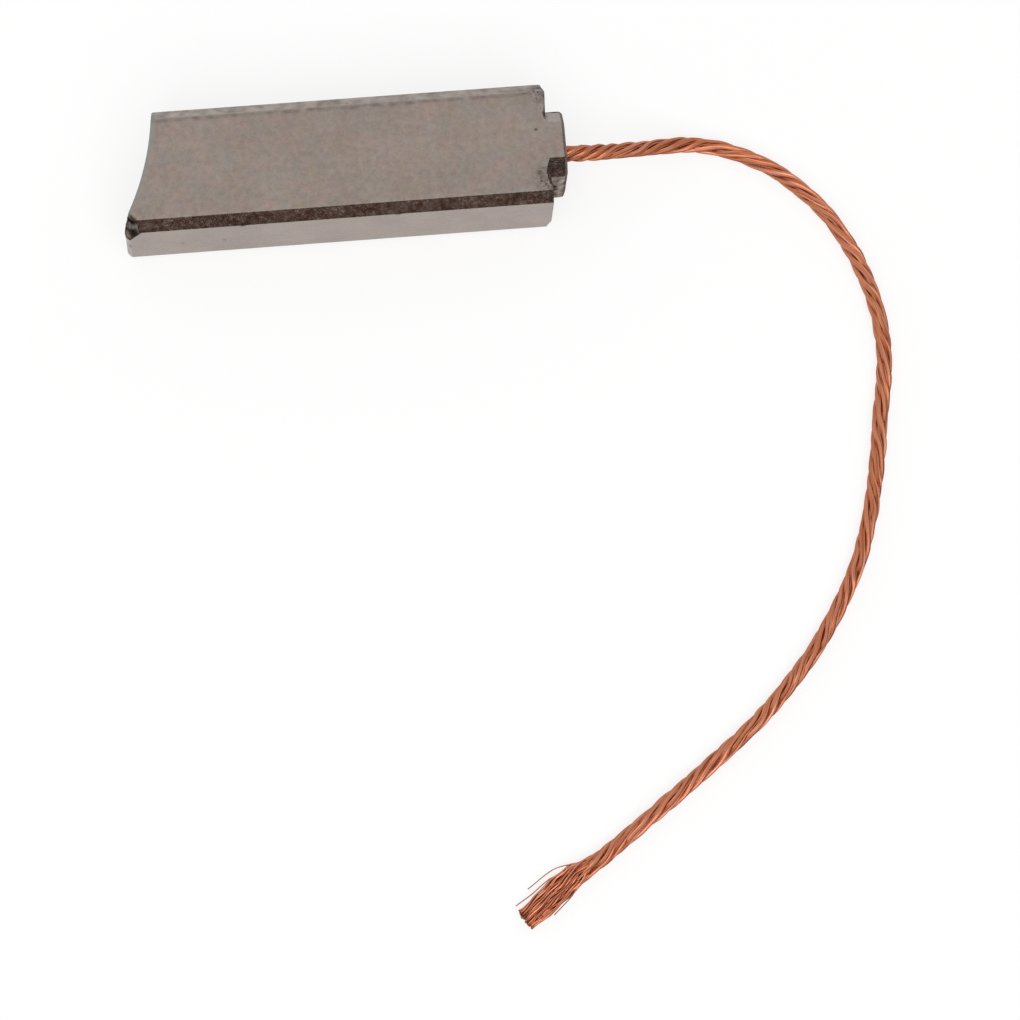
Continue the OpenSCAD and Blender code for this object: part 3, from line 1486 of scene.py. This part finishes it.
    def _wire(self, k: int, j: int) -> Tube:
        """Model one wire of a strand, from inside the strand to the cut end.

        Args:
            k: Number of the strand. The core's is the last.
            j: Number of the wire in its strand.

        Returns:
            The wire.
        """
        share = (j + 0.5) / self.wires_per_strand
        trim = self.random.uniform(0.0, self.trim) + (self.deep_trim if 0.3 < share < 0.5 else 0)
        along = np.linspace(self.splay_start - 0.6, self.length - trim, self.wire_rings)
        gone = np.clip(along - self.splay_start, 0, None)
        sideways, upward = self._wire_place(k, j, along)
        buried = smoothstep(0.36, 0.12, np.hypot(sideways, upward))
        loosened = smoothstep(0.4, 3.0, gone)
        sideways = sideways * read_profile(self.swell, gone) + read_profile(self.drift, gone)
        sideways = sideways + loosened * self._waver(along, self.wire_waver, 5)
        upward = upward + loosened * self._waver(along, self.wire_waver, 5)
        points = self._beside(along, sideways, upward)
        cut = smoothstep(self.length - trim - 0.3, self.length - trim, along)
        # Painted shade on wires buried inside the bundle, and darker cut ends.
        return self._round_wire(points, along, np.maximum(buried * 0.2, cut), k + 0.3 * j)

    def _wire_place(self, k: int, j: int, along: np.ndarray) -> tuple[np.ndarray, np.ndarray]:
        """Place a wire across the lead: in its strand at first, evenly spread further on.

        Args:
            k: Number of the strand. The core's is the last.
            j: Number of the wire in its strand.
            along: Distances along the lead.

        Returns:
            How far the wire lies to the side and above at each distance, before it splays.
        """
        share = (j + 0.5) / self.wires_per_strand
        turn = self._lay_angle(along) + 2 * math.pi * k / self.strands
        in_strand = (self.strand_radius - self.wire_radius) * math.sqrt(share)
        if k < self.strands:
            reach = self.lay_radius
            inner = self.core_spread**2
            ring = self.spread_radius * math.sqrt(inner + (1 - inner) * share)
            bearing = turn + 2 * math.pi / self.strands * (j * GOLDEN_SHARE % 1 - 0.5)
        else:
            reach = 0.0
            ring = self.spread_radius * self.core_spread * math.sqrt(share)
            bearing = turn + GOLDEN_TURN * j
        sideways = reach * np.cos(turn) + in_strand * np.cos(GOLDEN_TURN * j + turn)
        upward = reach * np.sin(turn) + in_strand * np.sin(GOLDEN_TURN * j + turn)
        spread = smoothstep(0.0, self.splay_blend, along - self.splay_start)
        return (sideways + spread * (ring * np.cos(bearing) - sideways),
                upward + spread * (ring * np.sin(bearing) - upward))

    def _filling(self) -> Tube:
        """Model the wires deep inside the splayed end as one flattened tube.

        Returns:
            The tube, which closes at both ends.
        """
        along = np.linspace(self.splay_start + 0.2, self.length - 0.5, self.wire_rings)
        gone = along - self.splay_start
        closed = np.sqrt(smoothstep(0, 0.8, gone) * smoothstep(self.splay_length, 5.2, gone))
        half = self.spread_radius * closed
        angle = round_angles(self.filling_sides)
        wide = (self.filling_size[0] * half * read_profile(self.swell, gone))[:, None]
        high = (self.filling_size[1] * half)[:, None]
        line, side, up = self._frame_at(along)
        line = line + read_profile(self.drift, gone)[:, None] * side
        points = swept(line, side, up, wide * np.cos(angle), high * np.sin(angle))
        lay = lay_of(wide * np.cos(angle), high * np.sin(angle), along)
        shape = points.shape[:2]
        # Painted shade: the filling is darkened like the shaded wires deep in the bundle.
        return Tube(points, np.full(shape, self.filling_dark), lay, np.zeros(shape))

    def _loose_wire(self, wire: LooseWire) -> Tube:
        """Model one wire that stands away from the cut end.

        Args:
            wire: Where it starts and the way it goes.

        Returns:
            The wire.
        """
        first = (0.0, 0.35 * math.copysign(1, wire.route[0][1]))
        marks = [(mark + wire.start, across) for mark, across in (first, *wire.route)]
        gone = np.linspace(marks[0][0], marks[-1][0], self.loose_rings)
        along = self.splay_start + gone
        sideways = evened_out(read_profile(marks, gone), 4)
        upward = np.linspace(0.1, -0.25, len(along)) + self._waver(along, 0.05, 4)
        points = self._beside(along, sideways, upward)
        dark = np.full(len(along), self.loose_dark)
        return self._round_wire(points, along, dark, 20 + wire.start, self.loose_thinness)

    def _round_wire(self, points: np.ndarray, along: np.ndarray, dark: np.ndarray, mark: float,
                    thin: float = 1.0) -> Tube:
        """Sweep a round wire along its points, kept above the surface that it lies on.

        Args:
            points: The wire's centre line.
            along: Distance of each point along the lead.
            dark: How far each point is darkened toward the brown of the shaded, oxidised hollows.
            mark: A number of the wire's own, which shifts its streaks.
            thin: Share of the usual radius.

        Returns:
            The wire.
        """
        points[:, 2] = np.maximum(points[:, 2], self.wire_radius)
        tangent = unit_rows(np.gradient(points, axis=0))
        across = unit_rows(np.cross((0, 0, 1), tangent))
        angle = round_angles(self.wire_sides)
        radius = self.wire_radius * thin
        sideways, upward = radius * np.cos(angle), radius * np.sin(angle)
        rings = swept(points, across, np.cross(tangent, across), sideways[None, :], upward[None, :])
        shape = (len(points), self.wire_sides)
        shade = np.full(shape, self.random.uniform(-1, 1))
        return Tube(rings, np.broadcast_to(dark[:, None], shape),
                    lay_of(sideways + 3.0 * mark, upward, along), shade)


def unit_rows(rows: np.ndarray) -> np.ndarray:
    """Scale each row of an array to length 1."""
    return rows / np.linalg.norm(rows, axis=1)[:, None]


def round_angles(sides: int) -> np.ndarray:
    """Divide one full turn into equal steps, in radians."""
    return np.arange(sides) * 2 * math.pi / sides


def read_profile(profile: Profile, places: np.ndarray) -> np.ndarray:
    """Read a profile at some places.

    Args:
        profile: Pairs of a place and the value there.
        places: The places.

    Returns:
        The value at each place.
    """
    marks, values = zip(*profile)
    return np.interp(places, marks, values)


def evened_out(rows: np.ndarray, rounds: int) -> np.ndarray:
    """Even out a row of numbers or points with their neighbours, and keep both ends.

    Args:
        rows: The numbers or points, which are changed.
        rounds: How many times it is done.

    Returns:
        The same row.
    """
    for _ in range(rounds):
        rows[1:-1] = 0.25 * rows[:-2] + 0.5 * rows[1:-1] + 0.25 * rows[2:]
    return rows


def even_steps(line: np.ndarray, step: float) -> np.ndarray:
    """Divide a line into equal steps.

    Args:
        line: Points of the line.
        step: Wanted length of a step.

    Returns:
        Points along the same line, with both its ends.
    """
    run = np.concatenate([[0], np.cumsum(np.linalg.norm(np.diff(line, axis=0), axis=1))])
    marks = np.linspace(0, run[-1], round(run[-1] / step) + 1)
    return np.stack([np.interp(marks, run, line[:, i]) for i in range(3)], axis=1)


def swept(line: np.ndarray, across: np.ndarray, above: np.ndarray, sideways: np.ndarray,
          upward: np.ndarray) -> np.ndarray:
    """Lay a ring of points round each point of a line.

    Args:
        line: The line's points.
        across: A direction square to the line at each point.
        above: The direction square to both.
        sideways: How far each point of a ring goes in the first direction.
        upward: How far it goes in the second.

    Returns:
        The rings.
    """
    return (line[:, None, :] + sideways[:, :, None] * across[:, None, :]
            + upward[:, :, None] * above[:, None, :])


def lay_of(sideways: np.ndarray, upward: np.ndarray, along: np.ndarray) -> np.ndarray:
    """Give each point of a tube the place that its streaks follow.

    Args:
        sideways: Place across the tube, for each side or for each point.
        upward: Place across it the other way.
        along: Distance of each ring along the lead.

    Returns:
        Two places across the tube and one along it, for each point.
    """
    shape = (len(along), np.shape(sideways)[-1])
    return np.stack([np.broadcast_to(part, shape) for part in (sideways, upward, along[:, None])],
                    axis=2)


def joined_tubes(name: str, tubes: list[Tube]) -> bpy.types.Object:
    """Make one mesh object of closed tubes.

    Args:
        name: Name of the new object.
        tubes: The tubes, each with capped ends.

    Returns:
        The object, with the tubes' attributes.
    """
    faces: list[tuple[int, ...]] = []
    base = 0
    for tube in tubes:
        rings, sides = tube.points.shape[:2]
        grid = base + np.arange(rings * sides).reshape(rings, sides)
        beside = np.roll(grid, -1, axis=1)
        quads = np.stack([grid[:-1], beside[:-1], beside[1:], grid[1:]], axis=2)
        faces += [tuple(quad) for quad in quads.reshape(-1, 4).tolist()]
        faces.append(tuple(reversed(grid[0].tolist())))
        faces.append(tuple(grid[-1].tolist()))
        base += rings * sides
    mesh = bpy.data.meshes.new(name)
    mesh.from_pydata(np.concatenate([t.points.reshape(-1, 3) for t in tubes]).tolist(), [], faces)
    store(mesh, "hollow_shade_and_oxide", np.concatenate([t.hollow_shade_and_oxide.ravel() for t in tubes]))
    store(mesh, "shade", np.concatenate([t.shade.ravel() for t in tubes]))
    store(mesh, "lay", np.concatenate([t.lay.reshape(-1, 3) for t in tubes]))
    obj = link_new(name, mesh)
    activate(obj)
    bpy.ops.object.shade_smooth_by_angle(angle=math.radians(60))
    return obj


# --- The studio ---------------------------------------------------------------------------


@dataclass
class Viewpoint:
    """The camera, which looks steeply down on the brush. Lengths are in metres."""

    azimuth: float = 12.953
    elevation: float = 75.513
    roll: float = 8.139
    distance: float = 0.32443
    aim_from_middle: tuple[float, float] = (-0.001178, 0.000423)
    lens: float = 178.86
    sensor: float = 36.0
    nearest: float = 0.01
    farthest: float = 10.0

    def place(self, box: tuple[Vector, Vector]) -> bpy.types.Object:
        """Place the camera and make it the scene's own.

        Args:
            box: Lowest and highest corners of the whole object.

        Returns:
            The camera.
        """
        azimuth, elevation = math.radians(self.azimuth), math.radians(self.elevation)
        back = Vector((-math.sin(azimuth) * math.cos(elevation),
                       -math.cos(azimuth) * math.cos(elevation), math.sin(elevation)))
        level = Vector((math.cos(azimuth), -math.sin(azimuth), 0))
        middle = (box[0] + box[1]) / 2
        aim = Vector((middle.x + self.aim_from_middle[0], middle.y + self.aim_from_middle[1], 0))
        turn = Matrix((level, back.cross(level), back)).transposed()
        camera = bpy.data.cameras.new("camera")
        camera.lens = self.lens
        camera.sensor_width = self.sensor
        camera.clip_start = self.nearest
        camera.clip_end = self.farthest
        obj = link_new("camera", camera)
        obj.matrix_world = (Matrix.Translation(aim + back * self.distance)
                            @ (turn @ Matrix.Rotation(math.radians(self.roll), 3, "Z")).to_4x4())
        bpy.context.scene.camera = obj
        return obj


@dataclass
class Studio:
    """A pale floor, one broad overhead lamp and an even pale surround. Lengths are in metres."""

    floor_radius: float = 3.0
    floor_sides: int = 96
    floor_gap: float = 0.00002
    floor_colour: Colour = (0.32, 0.32, 0.32, 1)
    floor_lift: float = 0.745
    lamp_size: float = 0.7
    lamp_place: Triple = (0.0, -0.42, 0.60)
    lamp_power: float = 2.6
    surround: float = 0.55
    flag_radius: float = 1.2
    flag_foot: float = 0.01
    flag_height: float = 0.75
    flag_points: int = 49
    flag_turns: tuple[float, float] = (215, 385)
    flag_reflected_glow: Colour = (0.13, 0.065, 0.045, 1)

    def build(self) -> None:
        """Build the floor, the dark flag, the lamp and the surround, and set the view."""
        self._floor()
        self._flag()
        self._lamp()
        self._world()
        bpy.context.scene.view_settings.view_transform = "Standard"

    def _floor(self) -> None:
        """Lay a round pale floor under the brush, which can't be seen from below."""
        deselect_all()
        bpy.ops.mesh.primitive_circle_add(vertices=self.floor_sides, radius=self.floor_radius,
                                          fill_type="NGON")
        floor = named_active("floor")
        bpy.ops.object.mode_set(mode="EDIT")
        bpy.ops.mesh.select_all(action="SELECT")
        bpy.ops.transform.translate(value=(0, 0, -self.floor_gap))
        bpy.ops.object.mode_set(mode="OBJECT")
        material, sheet = new_material("pale_floor")
        seen = sheet.add("ShaderNodeLightPath").outputs
        shown = sheet.most(seen["Is Camera Ray"], seen["Is Glossy Ray"])
        base = sheet.add("ShaderNodeBsdfDiffuse", Color=self.floor_colour)
        lift = sheet.add("ShaderNodeEmission", Strength=sheet.times(shown, self.floor_lift))
        lifted = sheet.add("ShaderNodeAddShader")
        sheet.feed(lifted.inputs[0], base.outputs["BSDF"])
        sheet.feed(lifted.inputs[1], lift.outputs["Emission"])
        from_below = sheet.add("ShaderNodeNewGeometry").outputs["Backfacing"]
        one_sided = sheet.add("ShaderNodeMixShader", Fac=from_below)
        sheet.feed(one_sided.inputs[1], lifted.outputs["Shader"])
        sheet.feed(one_sided.inputs[2], sheet.add("ShaderNodeBsdfTransparent").outputs["BSDF"])
        sheet.add("ShaderNodeOutputMaterial", Surface=one_sided.outputs["Shader"])
        floor.data.materials.append(material)
        floor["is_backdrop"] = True

    def _flag(self) -> None:
        """Stand a dark curved flag in front of the set, which the camera doesn't see; its dim brown
        glow paints a dark reflection on the near chamfers.
        """
        start, end = (math.radians(turn) for turn in self.flag_turns)
        turns = np.linspace(start, end, self.flag_points)
        low = [(self.flag_radius * math.cos(t), self.flag_radius * math.sin(t), self.flag_foot)
               for t in turns]
        high = [(x, y, self.flag_height) for x, y, _ in low]
        count = self.flag_points
        faces = [(i, i + 1, count + i + 1, count + i) for i in range(count - 1)]
        mesh = bpy.data.meshes.new("dark_flag")
        mesh.from_pydata(low + high, [], faces)
        flag = link_new("dark_flag", mesh)
        material, sheet = new_material("dark_reflected_glow")
        # Painted reflection: a dim brown glow that the near chamfers reflect.
        glow = sheet.add("ShaderNodeEmission", Color=self.flag_reflected_glow)
        sheet.add("ShaderNodeOutputMaterial", Surface=glow.outputs["Emission"])
        mesh.materials.append(material)
        flag.visible_camera = False
        flag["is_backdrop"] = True

    def _lamp(self) -> None:
        """Hang the broad lamp above and in front of the set, facing it."""
        lamp = bpy.data.lights.new("overhead_lamp", "AREA")
        lamp.shape = "SQUARE"
        lamp.size = self.lamp_size
        lamp.energy = self.lamp_power
        place = Vector(self.lamp_place)
        turn = place.to_track_quat("Z", "Y").to_matrix().to_4x4()
        link_new("overhead_lamp", lamp).matrix_world = Matrix.Translation(place) @ turn

    def _world(self) -> None:
        """Light the set evenly from all round, and show white behind it."""
        world = bpy.data.worlds.new("pale_surround")
        bpy.context.scene.world = world
        world.use_nodes = True
        sheet = NodeSheet(world.node_tree)
        seen = sheet.add("ShaderNodeLightPath").outputs
        shown = sheet.most(seen["Is Camera Ray"], seen["Is Glossy Ray"])
        shown = sheet.most(shown, seen["Is Transmission Ray"])
        strength = sheet.span(shown, 0, 1, self.surround, 1.0)
        back = sheet.add("ShaderNodeBackground", Color=(1, 1, 1, 1), Strength=strength)
        sheet.add("ShaderNodeOutputWorld", Surface=back.outputs["Background"])


# --- Making it ----------------------------------------------------------------------------


def blemishes() -> list[Blemish]:
    """List where the block is crumbled or dirty, and one spot of painted shade, in millimetres.

    Returns:
        The blemishes on the block's upper side and at its corners, and the painted shade on the
        stub's near side.
    """
    return [
        Blemish((12.75, -2.5, 6.3), 0.95, soot_and_shade=0.55, grit=1.0),
        Blemish((13.0, -3.5, 6.1), 0.9, soot_and_shade=0.7),
        Blemish((12.9, 3.4, 6.2), 1.0, soot_and_shade=0.7, grit=0.9),
        Blemish((13.1, 3.95, 5.75), 0.6, depth=0.06, soot_and_shade=0.4),
        Blemish((13.2, 2.5, 6.3), 0.3, depth=0.12, soot_and_shade=0.8, grit=0.5),
        Blemish((-6.75, -4.0, 5.65), 0.28, soot_and_shade=0.9),
        Blemish((3.15, -4.0, 5.65), 0.25, soot_and_shade=0.8),
        Blemish((13.4, -1.9, 6.1), 0.9, soot_and_shade=0.9),
        Blemish((13.8, -1.9, 5.9), 0.9, soot_and_shade=0.5),
        # Painted shade low on the stub's near side, beside the shoulder.
        Blemish((14.2, -2.2, 2.2), 0.5, soot_and_shade=0.8, tall=3.0),
        Blemish((13.1, 0.7, 6.3), 0.3, soot_and_shade=0.2),
        Blemish((-14.1, -4.0, 2.9), 0.14, soot_and_shade=0.9, tall=4.0),
        Blemish((-7.95, -4.0, 2.9), 0.12, soot_and_shade=0.5, tall=3.0),
        Blemish((-10.65, -4.0, 2.9), 0.12, soot_and_shade=0.4, tall=3.0),
    ]


def pits() -> tuple[Pit, ...]:
    """List the pits in the upper face, in millimetres.

    Returns:
        The pits, two at the stub's end and two small ones further along.
    """
    return (
        Pit((12.39, 0.77, 6.3), 0.15, 0.9),
        Pit((12.84, 2.18, 6.3), 0.13, 0.65),
        Pit((8.44, 0.43, 6.3), 0.10, 0.15),
        Pit((2.74, 0.46, 6.3), 0.09, 0.15),
    )


def place_piece(piece: bpy.types.Object, node: str) -> None:
    """Let a finished piece ride on the part's one body in place of its CAD node.

    Args:
        piece: The finished piece.
        node: The CAD node that it stands for.
    """
    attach(piece, "root")
    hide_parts(node)
    log.info("%s: %d triangles", piece.name, triangles(piece))


def main() -> None:
    """Build the camera, the lead, the block and the studio."""
    logging.basicConfig(level=logging.INFO, format="%(name)s: %(message)s")
    cad_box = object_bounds()
    Viewpoint().place(cad_box)
    mottle = build_mottle_group()

    lead = Lead()
    copper_lead = lead.build()
    copper_lead.data.materials.append(StrandCopper(mottle).build("strand_copper"))
    place_piece(copper_lead, "lead")
    log.info("lead: %.1f mm long", lead.length)

    block = BrushBlock(blemishes=blemishes())
    body = block.build()
    block.dress(body, {
        Region.GROUND: GroundGraphite(mottle, pits=pits()).build("ground_graphite"),
        Region.DIE_SKIN: DieSkin(mottle).build("die_skin"),
        Region.BEDDED: BeddedGraphite(mottle).build("bedded_graphite"),
        Region.SLID: SlidGraphite(mottle).build("slid_graphite"),
    })
    place_piece(body, "brush_block")

    Studio().build()


if __name__ == "__main__":
    main()
